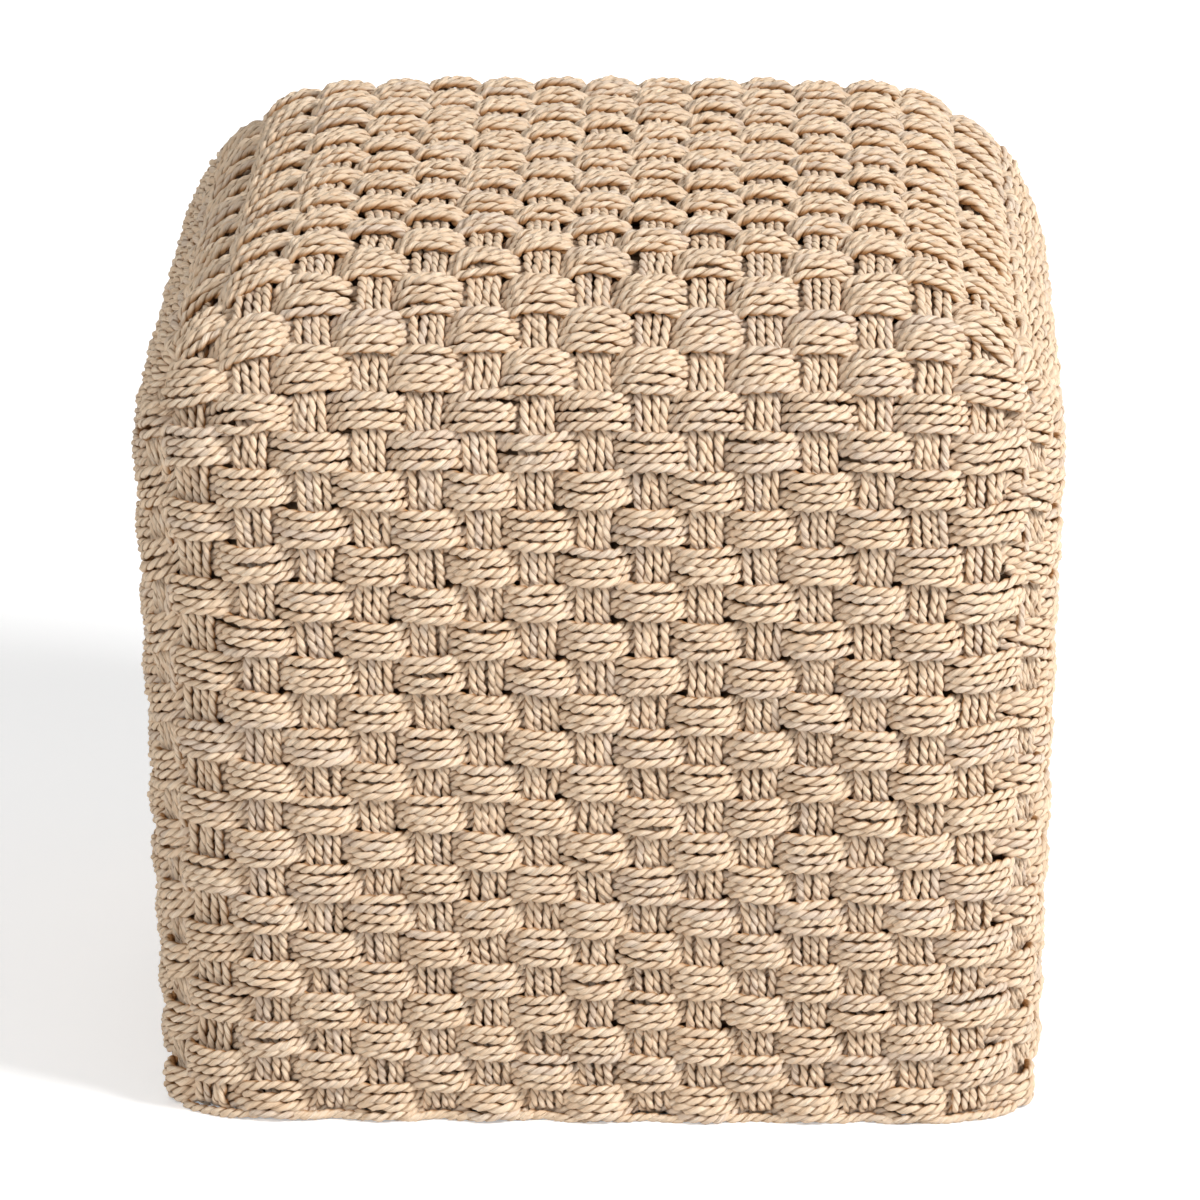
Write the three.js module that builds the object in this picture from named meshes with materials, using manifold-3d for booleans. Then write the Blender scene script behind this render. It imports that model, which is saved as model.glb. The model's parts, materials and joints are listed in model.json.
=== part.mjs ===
import * as THREE from 'three';
import { mergeVertices } from 'three/addons/utils/BufferGeometryUtils.js';
import Module from 'manifold-3d';

const wasm = await Module();
wasm.setup();

// Woven outdoor footstool, millimetres, +Z up, front towards -Y, standing on z = 0.

// Overall body
const width = 458.6;
const depth = 458.6;
const height = 433.8;
const crownRise = 8.7;
const edgeRadius = 105.2;
const cornerPower = 3.4;
const taperTop = 353;
const taperShare = 0.038;

// Woven cover
const floorGap = 3;
const floatRise = 5.8;
const coverWall = 9;
const seam = 0.8;
const hemDraw = 3;
const groupCount = 15;
const sideGroupCount = 19;
const ringCount = 23;
const faceInset = 26.05;
const sideInset = 61.15;
const bottomRingPitch = 15.8;
const topRingPitch = 20.6;
const groupHalfShare = 0.34;
const cornerDip = THREE.MathUtils.degToRad(12);
const faceBends = 3;
const sideBends = 4;
const edgeBends = 6;
const waistRow = 10;

// Frame
const clearance = 0.3;
const tubeRadius = 11;
const postRadius = 9.5;
const strutRadius = 8;
const bendRadius = 52;
const bottomTubeHeight = 19;
const shoulderDrop = 16;
const seatRingHalf = 118;
const strutShare = 0.68;
const slatWidth = 32;
const slatThickness = 4;
const slatCount = 4;
const slatDrop = 1.5;
const tubeSides = 10;
const bendSteps = 4;

// Glides
const glideRadius = 12;
const glideSaddle = 4;
const glideChamfer = 1;
const stemRadius = 3.5;
const stemLength = 12;
const glideSides = 12;

// Materials
const cordColour = new THREE.MeshStandardMaterial({ color: 0xd8bb93, roughness: 0.92, metalness: 0 });
const frameColour = new THREE.MeshStandardMaterial({ color: 0x6b5c4d, roughness: 0.45, metalness: 0.4 });
const glideColour = new THREE.MeshStandardMaterial({ color: 0x2b2a28, roughness: 0.6, metalness: 0 });

const ottoman = new THREE.Group();

function addPiece(name, geometry, material) {
  const piece = new THREE.Mesh(geometry, material);
  piece.name = name;
  ottoman.add(piece);
  return piece;
}

// Body surface. The base level lies one float below the outermost cord.
const baseRadius = edgeRadius - floatRise;
const flatX = width / 2 - edgeRadius;
const flatY = depth / 2 - edgeRadius;
const shoulder = height - edgeRadius;

function taperAt(z) {
  return 1 - taperShare * Math.max(0, (taperTop - z) / taperTop);
}

function crownAt(x, y, z) {
  const climb = Math.max(0, (z - shoulder) / baseRadius);
  return crownRise * climb ** 2 * (1 - (2 * x / width) ** 2) * (1 - (2 * y / depth) ** 2);
}

// Reach of the plan outline past its flat stretch, and height, at a distance up the profile.
function profileAt(level) {
  if (level <= shoulder) {
    return { reach: baseRadius, z: level };
  }
  const angle = (level - shoulder) / edgeRadius;
  return { reach: baseRadius * Math.cos(angle), z: shoulder + baseRadius * Math.sin(angle) };
}

// A point of the body from its reach past the flat stretches, moved outwards along its normal.
function bodyPoint(dx, dy, z, signX, signY, x, y, lift) {
  const reach = (dx ** cornerPower + dy ** cornerPower) ** (1 / cornerPower);
  const share = reach > 0 ? 1 / reach : 0;
  const normal = new THREE.Vector3(
    signX * reach * (dx * share) ** (cornerPower - 1),
    signY * reach * (dy * share) ** (cornerPower - 1),
    Math.max(0, z - shoulder),
  ).normalize();
  const scale = taperAt(z);
  return new THREE.Vector3(x * scale, y * scale, z + crownAt(x, y, z)).addScaledVector(normal, lift);
}

function remaining(reach, used) {
  return Math.max(0, reach ** cornerPower - used ** cornerPower) ** (1 / cornerPower);
}

// How far a level's outline stands past the flat stretches, at a place across a face.
function reachAt(across, level, flatAcross) {
  const { reach, z } = profileAt(level);
  const used = Math.max(0, Math.abs(across) - flatAcross);
  return { used, out: remaining(reach, used), z };
}

function frontPoint(x, level, lift) {
  const { used, out, z } = reachAt(x, level, flatX);
  return bodyPoint(used, out, z, Math.sign(x), -1, x, -(flatY + out), lift);
}

function sidePoint(y, level, lift) {
  const { used, out, z } = reachAt(y, level, flatY);
  return bodyPoint(out, used, z, -1, Math.sign(y), -(flatX + out), y, lift);
}

function topPoint(x, y, lift) {
  const dx = Math.max(0, Math.abs(x) - flatX);
  const dy = Math.max(0, Math.abs(y) - flatY);
  const reach = Math.min(baseRadius, (dx ** cornerPower + dy ** cornerPower) ** (1 / cornerPower));
  const z = shoulder + Math.sqrt(baseRadius ** 2 - reach ** 2);
  return bodyPoint(dx, dy, z, Math.sign(x), Math.sign(y), x, y, lift);
}

// Level at which a point of the plan lies on the rounded edge.
function levelAt(dx, dy) {
  const reach = (dx ** cornerPower + dy ** cornerPower) ** (1 / cornerPower);
  return shoulder + edgeRadius * Math.acos(Math.min(1, reach / baseRadius));
}

// Layout of the weave
const faceHalf = width / 2 - faceInset;
const seatHalf = depth / 2 - sideInset;
const groupPitch = 2 * faceHalf / groupCount;
const sideGroupPitch = 2 * seatHalf / sideGroupCount;
const edgeBand = seatHalf + sideGroupPitch;

// The edge band's outer line keeps to the body where it nears a corner.
function edgeLine(x) {
  const used = Math.max(0, Math.abs(x) - flatX);
  return Math.min(edgeBand, flatY + remaining(baseRadius * Math.cos(cornerDip), used));
}

function faceTop(x) {
  return levelAt(Math.max(0, Math.abs(x) - flatX), edgeLine(x) - flatY);
}

function sideTop(y) {
  return levelAt(faceHalf - flatX, Math.max(0, Math.abs(y) - flatY));
}

// Ring boundaries as shares of the way up, the pitch growing evenly towards the top.
const ringShares = [];
for (let ring = 0; ring <= ringCount; ring += 1) {
  const growth = (topRingPitch - bottomRingPitch) / (2 * ringCount);
  ringShares.push((bottomRingPitch * ring + growth * ring ** 2)
    / (bottomRingPitch * ringCount + growth * ringCount ** 2));
}

function shareAt(row) {
  const low = Math.min(ringCount - 1, Math.floor(row));
  return THREE.MathUtils.lerp(ringShares[low], ringShares[low + 1], row - low);
}

// Rows keep their height on the upright face and close up only where the top line dips.
function levelOfRow(row, top, middleTop) {
  const level = floorGap + shareAt(row) * (middleTop - floorGap);
  const bend = shoulder - topRingPitch;
  if (level <= bend) {
    return level;
  }
  return bend + (level - bend) * (top - bend) / (middleTop - bend);
}

// Mesh builder that collects points and triangles.
class Shell {
  constructor() {
    this.points = [];
    this.faces = [];
  }

  point(place) {
    this.points.push(place.x, place.y, place.z);
    return this.points.length / 3 - 1;
  }

  triangle(a, b, c) {
    this.faces.push(a, b, c);
  }

  quad(a, b, c, d) {
    this.triangle(a, b, c);
    this.triangle(a, c, d);
  }

  // Joins an outer and an inner line of points, each a list of { at, id } in rising order.
  zip(outer, inner, turned) {
    const face = turned ? (a, b, c) => this.triangle(a, c, b) : (a, b, c) => this.triangle(a, b, c);
    let i = 0;
    let j = 0;
    while (i < outer.length - 1 || j < inner.length - 1) {
      const nextOuter = i < outer.length - 1 ? outer[i + 1].at : Infinity;
      const nextInner = j < inner.length - 1 ? inner[j + 1].at : Infinity;
      if (nextOuter <= nextInner) {
        face(outer[i].id, outer[i + 1].id, inner[j].id);
        i += 1;
      } else {
        face(outer[i].id, inner[j + 1].id, inner[j].id);
        j += 1;
      }
    }
  }

  // The same from both ends to the middle, so that a turned copy meets the same edge.
  zipEvenly(outer, inner, turned) {
    const outerHalf = outer.length / 2;
    const innerHalf = (inner.length + 1) / 2;
    const back = (list) => list.map(({ at, id }) => ({ at: -at, id })).reverse();
    this.zip(outer.slice(0, outerHalf), inner.slice(0, innerHalf), turned);
    this.zip(back(outer.slice(outerHalf)), back(inner.slice(innerHalf - 1)), !turned);
    this.zip(outer.slice(outerHalf - 1, outerHalf + 1), inner.slice(innerHalf - 1, innerHalf), turned);
  }

  geometry() {
    const geometry = new THREE.BufferGeometry();
    geometry.setAttribute('position', new THREE.Float32BufferAttribute(this.points, 3));
    geometry.setIndex(this.faces);
    return geometry;
  }
}

// One float of a crossing band, a ridge with hipped ends over the group between two of its stops.
function addFloat(shell, low, high, left, start, end) {
  const right = left + 1;
  shell.triangle(low[left - 1].id, low[left].id, start);
  shell.quad(low[left].id, low[right].id, end, start);
  shell.triangle(low[right].id, low[right + 1].id, end);
  shell.triangle(high[left].id, high[left - 1].id, start);
  shell.quad(high[right].id, high[left].id, start, end);
  shell.triangle(high[right + 1].id, high[right].id, end);
  shell.triangle(low[left - 1].id, start, high[left - 1].id);
  shell.triangle(low[right + 1].id, high[right + 1].id, end);
}

// A woven wall. Floats stand over every other group, and the groups lie flat between them.
// place(u, v, lift) maps group and row numbers to space.
function wovenWall({ groups, rows, parity, place, innerGroups, innerRows, hem }) {
  const shell = new Shell();
  const stops = [0];
  for (let group = 0; group < groups; group += 1) {
    stops.push(group + 0.5 - groupHalfShare, group + 0.5 + groupHalfShare);
  }
  stops.push(groups);
  const last = stops.length - 1;
  const rowStops = Array.from({ length: rows + 1 }, (_, row) => row);
  const lines = rowStops.map((row) => {
    const lift = hem && row === 0 ? -hemDraw : 0;
    return stops.map((u) => ({ at: u, id: shell.point(place(u, row, lift)) }));
  });
  const flat = (low, high, left) => {
    shell.quad(low[left].id, low[left + 1].id, high[left + 1].id, high[left].id);
  };
  for (let row = 0; row < rows; row += 1) {
    const low = lines[row];
    const high = lines[row + 1];
    for (let left = 1; left < last; left += 2) {
      if (((left - 1) / 2 + row + parity) % 2 === 0) {
        const start = shell.point(place(stops[left], row + 0.5, floatRise));
        const end = shell.point(place(stops[left + 1], row + 0.5, floatRise));
        addFloat(shell, low, high, left, start, end);
      } else {
        const from = left === 1 ? 0 : left;
        const to = left + 1 === last - 1 ? last : left + 1;
        for (let stop = from; stop < to; stop += 1) {
          flat(low, high, stop);
        }
      }
    }
  }
  const inner = innerRows.map((v) => (
    innerGroups.map((u) => ({ at: u, id: shell.point(place(u, v, -coverWall)) }))
  ));
  for (let i = 0; i < innerRows.length - 1; i += 1) {
    for (let j = 0; j < innerGroups.length - 1; j += 1) {
      shell.quad(inner[i][j].id, inner[i + 1][j].id, inner[i + 1][j + 1].id, inner[i][j + 1].id);
    }
  }
  const rim = (list, places, end) => list.map((line, index) => ({ at: places[index], id: line.at(end).id }));
  shell.zipEvenly(lines[0], inner[0], true);
  shell.zipEvenly(lines[rows], inner.at(-1), false);
  shell.zip(rim(lines, rowStops, 0), rim(inner, innerRows, 0), false);
  shell.zip(rim(lines, rowStops, -1), rim(inner, innerRows, -1), true);
  return shell.geometry();
}

// Groups or rows at which the plain inner side of a wall has an edge: a few at each end, one midway.
function innerStops(count, bends) {
  const near = Array.from({ length: bends + 1 }, (_, stop) => stop);
  return [...near, count / 2, ...near.map((stop) => count - stop).reverse()];
}

const uprightRows = [0, waistRow, ...innerStops(ringCount, edgeBends).slice(-edgeBends - 1)];

// Front and back
function seamed(value, limit) {
  return THREE.MathUtils.clamp(value, -limit + seam / 2, limit - seam / 2);
}

function facePlace(u, v, lift) {
  const x = seamed((u - groupCount / 2) * groupPitch, faceHalf);
  const level = levelOfRow(v, faceTop(x), faceTop(0));
  return frontPoint(x, v === ringCount ? level - seam / 2 : level, lift);
}

const faceWall = wovenWall({
  groups: groupCount,
  rows: ringCount,
  parity: 1,
  place: facePlace,
  innerGroups: innerStops(groupCount, faceBends),
  innerRows: uprightRows,
  hem: true,
});
addPiece('woven_front', faceWall, cordColour);
addPiece('woven_back', faceWall.clone(), cordColour).rotation.z = Math.PI;

// Left and right
function sidePlace(u, v, lift) {
  const y = -seamed((u - sideGroupCount / 2) * sideGroupPitch, seatHalf);
  const level = levelOfRow(v, sideTop(y), sideTop(0));
  return sidePoint(y, v === ringCount ? level - seam / 2 : level, lift);
}

const sideWall = wovenWall({
  groups: sideGroupCount,
  rows: ringCount,
  parity: 1,
  place: sidePlace,
  innerGroups: innerStops(sideGroupCount, sideBends),
  innerRows: uprightRows,
  hem: true,
});
addPiece('woven_left', sideWall, cordColour);
addPiece('woven_right', sideWall.clone(), cordColour).rotation.z = Math.PI;

// Seat, with one edge band past the side groups at the front and at the back
const bandCount = sideGroupCount + 2;

function seatPlace(u, v, lift) {
  const x = seamed((u - groupCount / 2) * groupPitch, faceHalf);
  const plain = (v - bandCount / 2) * sideGroupPitch;
  const limit = edgeLine(x) - seam / 2;
  const y = Math.abs(plain) <= seatHalf ? plain : Math.sign(plain) * THREE.MathUtils.lerp(
    seatHalf,
    limit,
    (Math.abs(plain) - seatHalf) / sideGroupPitch,
  );
  return topPoint(x, y, lift);
}

const seatWall = wovenWall({
  groups: groupCount,
  rows: bandCount,
  parity: 0,
  place: seatPlace,
  innerGroups: innerStops(groupCount, faceBends),
  innerRows: innerStops(bandCount, sideBends),
});
addPiece('woven_seat', seatWall, cordColour);

// Corner bands: one group up each upright corner, from the face's last line to the side's
function cornerPlace(u, v, lift) {
  const faceEdge = faceHalf + seam / 2 - flatX;
  const sideEdge = seatHalf + seam / 2 - flatY;
  const faceLevel = levelOfRow(v, faceTop(faceHalf), faceTop(0));
  const sideLevel = levelOfRow(v, sideTop(seatHalf), sideTop(0));
  const start = Math.acos((faceEdge / profileAt(faceLevel).reach) ** (cornerPower / 2));
  const end = Math.asin((sideEdge / profileAt(sideLevel).reach) ** (cornerPower / 2));
  const angle = THREE.MathUtils.lerp(start, end, u);
  const level = THREE.MathUtils.lerp(faceLevel, sideLevel, u) - (v === ringCount ? seam / 2 : 0);
  const { reach, z } = profileAt(level);
  const dx = reach * Math.cos(angle) ** (2 / cornerPower);
  const dy = reach * Math.sin(angle) ** (2 / cornerPower);
  return bodyPoint(dx, dy, z, 1, -1, flatX + dx, -(flatY + dy), lift);
}

function mirrored(geometry) {
  const copy = geometry.clone().scale(-1, 1, 1);
  const index = copy.getIndex();
  for (let i = 0; i < index.count; i += 3) {
    const first = index.getX(i);
    index.setX(i, index.getX(i + 1));
    index.setX(i + 1, first);
  }
  return copy;
}

const cornerWall = wovenWall({
  groups: 1,
  rows: ringCount,
  parity: 0,
  place: cornerPlace,
  innerGroups: [0, 0.5, 1],
  innerRows: uprightRows,
  hem: true,
});
const cornerTwin = mirrored(cornerWall);
addPiece('corner_band_front_right', cornerWall, cordColour);
addPiece('corner_band_front_left', cornerTwin, cordColour);
addPiece('corner_band_back_left', cornerWall.clone(), cordColour).rotation.z = Math.PI;
addPiece('corner_band_back_right', cornerTwin.clone(), cordColour).rotation.z = Math.PI;

// Frame helpers
function rod(from, to, radius, sides) {
  const along = new THREE.Vector3().subVectors(to, from);
  const geometry = new THREE.CylinderGeometry(radius, radius, along.length(), sides);
  geometry.applyQuaternion(new THREE.Quaternion().setFromUnitVectors(
    new THREE.Vector3(0, 1, 0),
    along.clone().normalize(),
  ));
  const middle = new THREE.Vector3().addVectors(from, to).multiplyScalar(0.5);
  return geometry.translate(middle.x, middle.y, middle.z);
}

class Bend extends THREE.Curve {
  constructor(centre, radius, start) {
    super();
    Object.assign(this, { centre, radius, start });
  }

  getPoint(share, target = new THREE.Vector3()) {
    const angle = this.start + share * Math.PI / 2;
    return target.set(this.radius * Math.cos(angle), this.radius * Math.sin(angle), 0).add(this.centre);
  }
}

function bentRod(curve, radius) {
  const section = new THREE.Shape().absarc(0, 0, radius, 0, 2 * Math.PI);
  return new THREE.ExtrudeGeometry(section, {
    steps: bendSteps,
    curveSegments: tubeSides / 2,
    extrudePath: curve,
  });
}

function solid(geometry) {
  const plain = geometry.clone();
  plain.deleteAttribute('normal');
  plain.deleteAttribute('uv');
  const merged = mergeVertices(plain);
  return new wasm.Manifold(new wasm.Mesh({
    numProp: 3,
    vertProperties: merged.getAttribute('position').array,
    triVerts: new Uint32Array(merged.getIndex().array),
  }));
}

function geometryOf(body) {
  const mesh = body.getMesh();
  const geometry = new THREE.BufferGeometry();
  geometry.setAttribute('position', new THREE.BufferAttribute(mesh.vertProperties, 3));
  geometry.setIndex(new THREE.BufferAttribute(mesh.triVerts, 1));
  return geometry;
}

// Removes from a piece the room that its neighbours take up.
function coped(geometry, neighbours) {
  return geometryOf(neighbours.reduce((body, neighbour) => body.subtract(solid(neighbour)), solid(geometry)));
}

// Rings of tube that the upright cords are woven round
const wallSlope = Math.atan((width / 2 - floatRise) * taperShare / taperTop);

function ringHalf(size, z) {
  const inner = (size / 2 - floatRise) * taperAt(z) - coverWall;
  return inner - (tubeRadius + clearance) / Math.cos(wallSlope);
}

const corners = [
  { name: 'back_right', x: 1, y: 1, start: 0 },
  { name: 'back_left', x: -1, y: 1, start: Math.PI / 2 },
  { name: 'front_left', x: -1, y: -1, start: Math.PI },
  { name: 'front_right', x: 1, y: -1, start: 3 * Math.PI / 2 },
];

function bendCurve(corner, z) {
  const x = corner.x * (ringHalf(width, z) - bendRadius);
  const y = corner.y * (ringHalf(depth, z) - bendRadius);
  return new Bend(new THREE.Vector3(x, y, z), bendRadius, corner.start);
}

function addRing(title, z, finishBend) {
  const x = ringHalf(width, z);
  const y = ringHalf(depth, z);
  const endX = x - bendRadius - clearance;
  const endY = y - bendRadius - clearance;
  const rails = [
    ['front', -endX, -y, endX, -y],
    ['back', -endX, y, endX, y],
    ['left', -x, -endY, -x, endY],
    ['right', x, -endY, x, endY],
  ];
  for (const [side, x0, y0, x1, y1] of rails) {
    const rail = rod(new THREE.Vector3(x0, y0, z), new THREE.Vector3(x1, y1, z), tubeRadius, tubeSides);
    addPiece(`${title}_rail_${side}`, rail, frameColour);
  }
  for (const corner of corners) {
    const bend = bentRod(bendCurve(corner, z), tubeRadius);
    addPiece(`${title}_bend_${corner.name}`, finishBend(bend, corner), frameColour);
  }
}

const bottomZ = bottomTubeHeight;
const shoulderZ = shoulder - shoulderDrop;

function stemHole(bend, corner) {
  const middle = bendCurve(corner, bottomZ).getPoint(0.5);
  const foot = middle.clone().setZ(0);
  const tip = middle.clone().setZ(bottomZ - tubeRadius + stemLength + clearance);
  return coped(bend, [rod(foot, tip, stemRadius + clearance, glideSides)]);
}

addRing('bottom', bottomZ, stemHole);
addRing('shoulder', shoulderZ, (bend) => bend);

// Corner posts, notched to sit on one ring and under the other
for (const corner of corners) {
  const low = bendCurve(corner, bottomZ);
  const high = bendCurve(corner, shoulderZ);
  const post = rod(low.getPoint(0.5), high.getPoint(0.5), postRadius, tubeSides);
  const room = [low, high].map((curve) => bentRod(curve, tubeRadius + clearance));
  addPiece(`post_${corner.name}`, coped(post, room), frameColour);
}

// Seat ring, one slat and its clearances below the lowest point of the weave over it
const slatPitch = 2 * seatRingHalf / slatCount;
const slatReach = seatRingHalf + tubeRadius;
const slatLine = (slatCount - 1) / 2 * slatPitch + slatWidth / 2;
const slatTop = topPoint(slatReach, slatLine, -coverWall).z - slatDrop;
const seatRingZ = slatTop - slatThickness - clearance - tubeRadius;
const seatRails = {
  front: [-seatRingHalf, -seatRingHalf, seatRingHalf, -seatRingHalf],
  back: [-seatRingHalf, seatRingHalf, seatRingHalf, seatRingHalf],
  left: [-seatRingHalf, -seatRingHalf, -seatRingHalf, seatRingHalf],
  right: [seatRingHalf, -seatRingHalf, seatRingHalf, seatRingHalf],
};

function seatRail(side, radius) {
  const [x0, y0, x1, y1] = seatRails[side];
  const past = side === 'front' || side === 'back' ? tubeRadius : 0;
  const from = new THREE.Vector3(x0 - past, y0, seatRingZ);
  return rod(from, new THREE.Vector3(x1 + past, y1, seatRingZ), radius, tubeSides);
}

for (const side of ['front', 'back']) {
  addPiece(`seat_rail_${side}`, seatRail(side, tubeRadius), frameColour);
}
for (const side of ['left', 'right']) {
  const room = ['front', 'back'].map((end) => seatRail(end, tubeRadius + clearance));
  addPiece(`seat_rail_${side}`, coped(seatRail(side, tubeRadius - clearance), room), frameColour);
}

// Sloping struts from the shoulder ring up to the seat ring, two to a side
const strutEnds = { front: [0, -1], back: [0, 1], left: [-1, 0], right: [1, 0] };
for (const [side, [sx, sy]] of Object.entries(strutEnds)) {
  for (const place of [-1, 1]) {
    const offset = place * strutShare * seatRingHalf;
    const low = new THREE.Vector3(
      sx * ringHalf(width, shoulderZ) + sy * offset,
      sy * ringHalf(depth, shoulderZ) + sx * offset,
      shoulderZ,
    );
    const high = new THREE.Vector3(
      sx * seatRingHalf + sy * offset,
      sy * seatRingHalf + sx * offset,
      seatRingZ,
    );
    const along = new THREE.Vector3(Math.abs(sy), Math.abs(sx), 0).multiplyScalar(strutRadius * 2);
    const room = [low, high].map((end) => rod(
      end.clone().sub(along),
      end.clone().add(along),
      tubeRadius + clearance,
      tubeSides,
    ));
    const strut = coped(rod(low, high, strutRadius, tubeSides), room);
    addPiece(`strut_${side}_${place < 0 ? 1 : 2}`, strut, frameColour);
  }
}

// Slats across the seat ring
for (let slat = 0; slat < slatCount; slat += 1) {
  const bar = new THREE.BoxGeometry(2 * slatReach, slatWidth, slatThickness);
  bar.translate(0, (slat - (slatCount - 1) / 2) * slatPitch, slatTop - slatThickness / 2);
  addPiece(`slat_${slat + 1}`, bar, frameColour);
}

// Glides under the bends of the bottom ring
for (const corner of corners) {
  const curve = bendCurve(corner, bottomZ);
  const middle = curve.getPoint(0.5);
  const rim = bottomZ - tubeRadius + glideSaddle;
  const pad = new THREE.LatheGeometry([
    new THREE.Vector2(0, 0),
    new THREE.Vector2(glideRadius - glideChamfer, 0),
    new THREE.Vector2(glideRadius, glideChamfer),
    new THREE.Vector2(glideRadius, rim),
    new THREE.Vector2(0, rim),
  ], glideSides).rotateX(Math.PI / 2).translate(middle.x, middle.y, 0);
  const stem = rod(
    middle.clone().setZ(glideChamfer),
    middle.clone().setZ(bottomZ - tubeRadius + stemLength),
    stemRadius,
    glideSides,
  );
  const saddled = solid(pad).subtract(solid(bentRod(curve, tubeRadius + clearance)));
  addPiece(`glide_${corner.name}`, geometryOf(saddled.add(solid(stem))), glideColour);
}

export default ottoman;
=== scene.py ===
import json
import math

import bpy
import numpy as np
from mathutils import Matrix, Vector


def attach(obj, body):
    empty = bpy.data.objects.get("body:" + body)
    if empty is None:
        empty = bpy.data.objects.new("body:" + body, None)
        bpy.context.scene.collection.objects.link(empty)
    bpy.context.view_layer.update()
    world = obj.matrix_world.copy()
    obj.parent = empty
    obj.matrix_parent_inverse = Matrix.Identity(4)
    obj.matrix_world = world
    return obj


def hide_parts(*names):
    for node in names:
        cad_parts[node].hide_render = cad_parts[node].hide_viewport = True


# Woven outdoor footstool, metres, +Z up, front towards -Y. Every cord of the basket weave is a
# two-ply rope swept along its own path over and under the cords it crosses.

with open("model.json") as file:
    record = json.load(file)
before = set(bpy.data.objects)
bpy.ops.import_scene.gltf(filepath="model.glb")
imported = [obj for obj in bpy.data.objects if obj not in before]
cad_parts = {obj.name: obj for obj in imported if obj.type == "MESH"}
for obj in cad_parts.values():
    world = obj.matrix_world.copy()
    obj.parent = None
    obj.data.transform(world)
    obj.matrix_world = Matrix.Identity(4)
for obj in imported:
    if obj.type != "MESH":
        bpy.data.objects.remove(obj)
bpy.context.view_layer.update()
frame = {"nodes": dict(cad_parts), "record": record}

# Body that the cords wrap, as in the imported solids
WIDTH = 0.4586
DEPTH = 0.4586
HEIGHT = 0.4338
CROWN_RISE = 0.0087
EDGE_RADIUS = 0.1052
FLOAT_RISE = 0.0058
CORNER_POWER = 3.4
TAPER_TOP = 0.353
TAPER_SHARE = 0.038

# Foot, which unlike the solids is squarer at its corners and drawn in at the left and right, and
# starts a little lower
FLOOR_GAP = 0.0026
FOOT_HEIGHT = 0.065
FOOT_POWER = 6
TUCK_HEIGHT = 0.03
FOOT_TUCK = 0.0065

# Depth of the frame below the body's surface, taken as less for each further cord of a group, so
# that undersides pressed flat don't share a plane
FRAME_DEPTH = 0.0091
FRAME_STEP = 0.0001

# Sheet behind the cords, dark brown as painted shade
INNER_DEPTH = 0.0085
INNER_ROWS = 115
INNER_RINGS = 56
INNER_SEAT_RINGS = 14
INNER_SEAT_END = 0.02
INNER_SKIP = 8

# Weave
GROUPS = 15
SIDE_GROUPS = 19
RINGS = 23
UPRIGHT_CORDS = 4
HOOP_CORDS = 4
CORNER_CORDS = 5
RING_CORDS = 4
TOP_RINGS = 2
TOP_RING_CORDS = 5
HEM_CORDS = 2
FACE_INSET = 0.02605
SIDE_INSET = 0.06115
BOTTOM_RING_PITCH = 0.0158
TOP_RING_PITCH = 0.0206
CORNER_DIP = math.radians(29)
DIP_POWER = 3.0
UPRIGHT_LIFT = -0.0031
SEAT_LIFT = -0.0019
UPRIGHT_SWAY = 0.0005
FLOAT_LIFT = -0.0021
FLOAT_SWAY = 0.0056
FLOAT_FULLNESS = 1.5
CORNER_WIDTH = 0.055
CORNER_SHARE = 0.2
CORNER_BULGE = 0.002
HEM_LIFT = -0.0010
HEM_SWAY = 0.0010
HEM_TUCK_HEIGHT = 0.007
HEM_TUCK_DEPTH = 0.008

# Places of the first columns from the left against an even pitch, fitted to the photograph
LEFT_COLUMN_SHIFTS = (-0.0072, -0.0030, -0.0008, 0.0010)

# Crossings past the seat's edge where a group starts to lie as it does on the seat, and where it
# does so fully: for the uprights and for the hoops
SEAT_BLEND = (2, -1)
TOP_BLEND = (0.9, 0.1)

# Cord
UPRIGHT_SPACING = 0.0042
SIDE_SPACING = 0.0035
CORNER_SPACING = 0.0048
FLOAT_SPACING = 0.0049
UPRIGHT_GIRTH = 0.97
SIDE_GIRTH = 0.92
FLOAT_GIRTH = 1.1
PRESSED = 0.2
PLY_RADIUS = 0.00162
PLY_OFFSET = 0.0008
UPRIGHT_TWIST = 0.0122
FLOAT_TWIST = 0.0138
TWIST_SPREAD = 0.12
GIRTH_SPREAD = 0.05
FUZZ = 0.055
FUZZ_LIMIT = 2
FLOAT_DOME = 0.0009
SEAT_DOME = 0.0016
SEAT_SLACK = 1.6
SLOPE_SPREAD = 0.4
CLOSED_UP_SHARE = 0.97
MOST_FLAT = 0.0019
STEP = 0.0015
SECTION = 8

# How far cords stray, each the scale and amount of a wander
GROUP_DRIFT = (0.033, 0.0007)
GROUP_RISE = (0.027, 0.0003)
CORD_DRIFT = (0.013, 0.0005)
CORD_RISE = (0.014, 0.0004)
LOOSE_TWIST = (0.03, 0.7)
UNEVEN_GIRTH = (0.02, 0.04)

# Layout of the OFBake map: rows for each cord, and margins inside a row
BAKE_ROWS = 18
LONG_BAKE_ROWS = 24
BAKE_MARGIN_U = 0.002
BAKE_MARGIN_V = 0.06

# Seeds of the groups' random draws
HEM_SEED = 90
UPRIGHT_SEED = 100
HOOP_SEED = 200
RING_SEED = 300

# Points along the lines that the cords follow
CLIMB_POINTS = 500
ARCH_POINTS = 1200
LEVEL_POINTS = 800
CORNER_CLIMB_POINTS = 700
EDGE_POINTS = 900
FACE_POINTS = 420
BAND_POINTS = 42

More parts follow.
